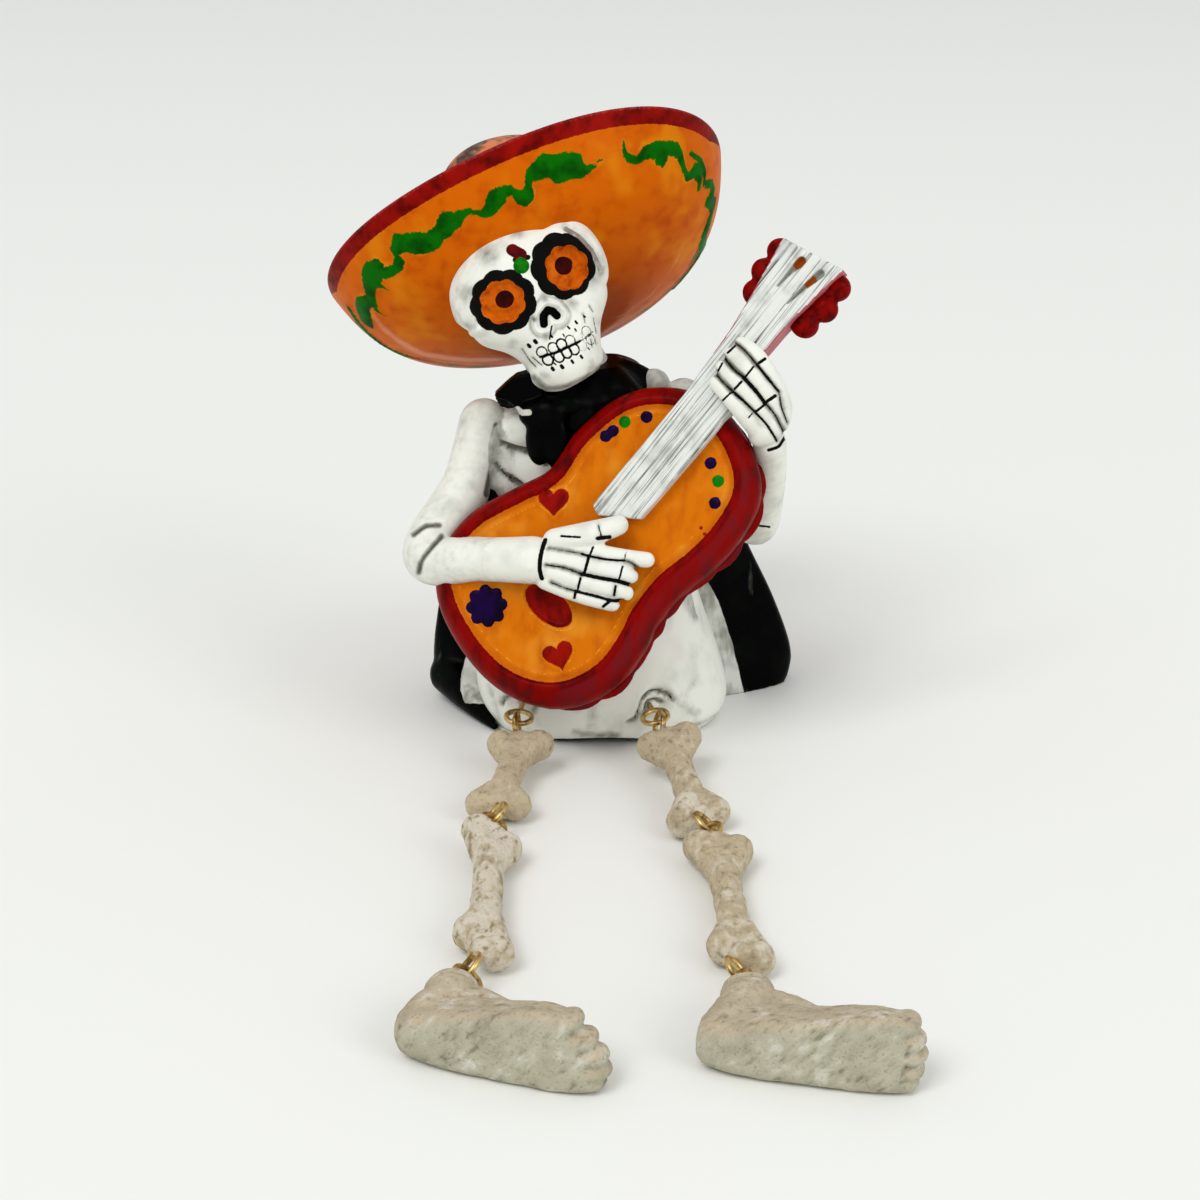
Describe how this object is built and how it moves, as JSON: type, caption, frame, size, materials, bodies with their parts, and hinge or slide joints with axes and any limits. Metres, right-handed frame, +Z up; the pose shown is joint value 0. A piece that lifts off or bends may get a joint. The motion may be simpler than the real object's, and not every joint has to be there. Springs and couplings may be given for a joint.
{
  "type": "shelf sitter figure",
  "caption": "Seated cast skeleton musician in a wide sombrero and short cape, playing a guitar, with loose bone legs on linked screw eyes; sits on a shelf edge or a table.",
  "frame": {"origin": "middle of the flat underside of the seat", "axes": "+Z up; the figure faces -Y; +X to the right of someone who looks at its face; the legs lie stretched out towards -Y"},
  "size_m": [0.1009, 0.1949, 0.1208],
  "materials": {
    "painted_resin": "cast resin, hand painted white with an olive wash, orange, dark red, green and black, half gloss",
    "bare_resin": "cast resin, unpainted warm grey, rough and mottled",
    "brass": "bent wire, slightly dulled"
  },
  "bodies": {
    "root": {"seated_figure": "painted_resin", "left_thigh_bone": "bare_resin", "left_shin_bone": "bare_resin", "left_foot": "bare_resin", "right_thigh_bone": "bare_resin", "right_shin_bone": "bare_resin", "right_foot": "bare_resin", "left_hip_eye": "brass", "left_thigh_top_eye": "brass", "left_thigh_bottom_eye": "brass", "left_shin_top_eye": "brass", "left_shin_bottom_eye": "brass", "left_foot_eye": "brass", "right_hip_eye": "brass", "right_thigh_top_eye": "brass", "right_thigh_bottom_eye": "brass", "right_shin_top_eye": "brass", "right_shin_bottom_eye": "brass", "right_foot_eye": "brass"}
  },
  "joints": []
}
